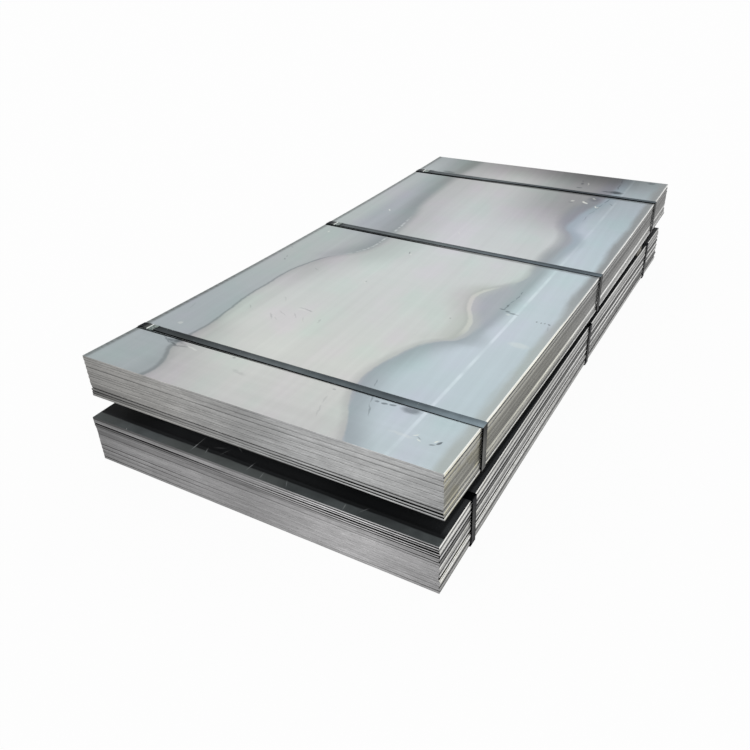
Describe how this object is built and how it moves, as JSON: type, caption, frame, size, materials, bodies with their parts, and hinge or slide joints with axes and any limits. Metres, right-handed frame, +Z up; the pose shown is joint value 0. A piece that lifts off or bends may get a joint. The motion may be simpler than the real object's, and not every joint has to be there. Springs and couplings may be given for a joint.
{
  "type": "strapped stack of steel plates",
  "caption": "Flat steel plates in bundles held by crosswise steel straps with crimped seals, the upper bundle carried on timber bearers above the lower.",
  "frame": {"origin": "on the floor under the middle of the whole stack's box", "axes": "+X across the plates, +Y along them away from the front end, +Z up from the floor"},
  "size_m": [1.2678, 2.527, 0.3886],
  "materials": {
    "plate": "mill finish, satin, with blue-grey bands along the long edges",
    "strap": "blued and waxed steel strapping, semi-gloss",
    "seal": "crimped steel clip, semi-gloss",
    "timber": "rough sawn softwood, weathered"
  },
  "bodies": {
    "root": {"lower_plate_01": "plate", "lower_plate_02": "plate", "lower_plate_03": "plate", "lower_plate_04": "plate", "lower_plate_05": "plate", "lower_plate_06": "plate", "lower_plate_07": "plate", "lower_plate_08": "plate", "lower_plate_09": "plate", "lower_plate_10": "plate", "lower_plate_11": "plate", "lower_plate_12": "plate", "lower_plate_13": "plate", "lower_plate_14": "plate", "lower_plate_15": "plate", "lower_plate_16": "plate", "lower_plate_17": "plate", "lower_plate_18": "plate", "lower_plate_19": "plate", "lower_plate_20": "plate", "lower_strap_front": "strap", "lower_seal_front": "seal", "lower_strap_middle": "strap", "lower_seal_middle": "seal", "lower_strap_back": "strap", "lower_seal_back": "seal", "upper_plate_01": "plate", "upper_plate_02": "plate", "upper_plate_03": "plate", "upper_plate_04": "plate", "upper_plate_05": "plate", "upper_plate_06": "plate", "upper_plate_07": "plate", "upper_plate_08": "plate", "upper_plate_09": "plate", "upper_plate_10": "plate", "upper_plate_11": "plate", "upper_plate_12": "plate", "upper_plate_13": "plate", "upper_plate_14": "plate", "upper_plate_15": "plate", "upper_plate_16": "plate", "upper_plate_17": "plate", "upper_strap_front": "strap", "upper_seal_front": "seal", "upper_strap_middle": "strap", "upper_seal_middle": "seal", "upper_strap_back": "strap", "upper_seal_back": "seal", "bearer_front": "timber", "bearer_back": "timber"}
  },
  "joints": []
}
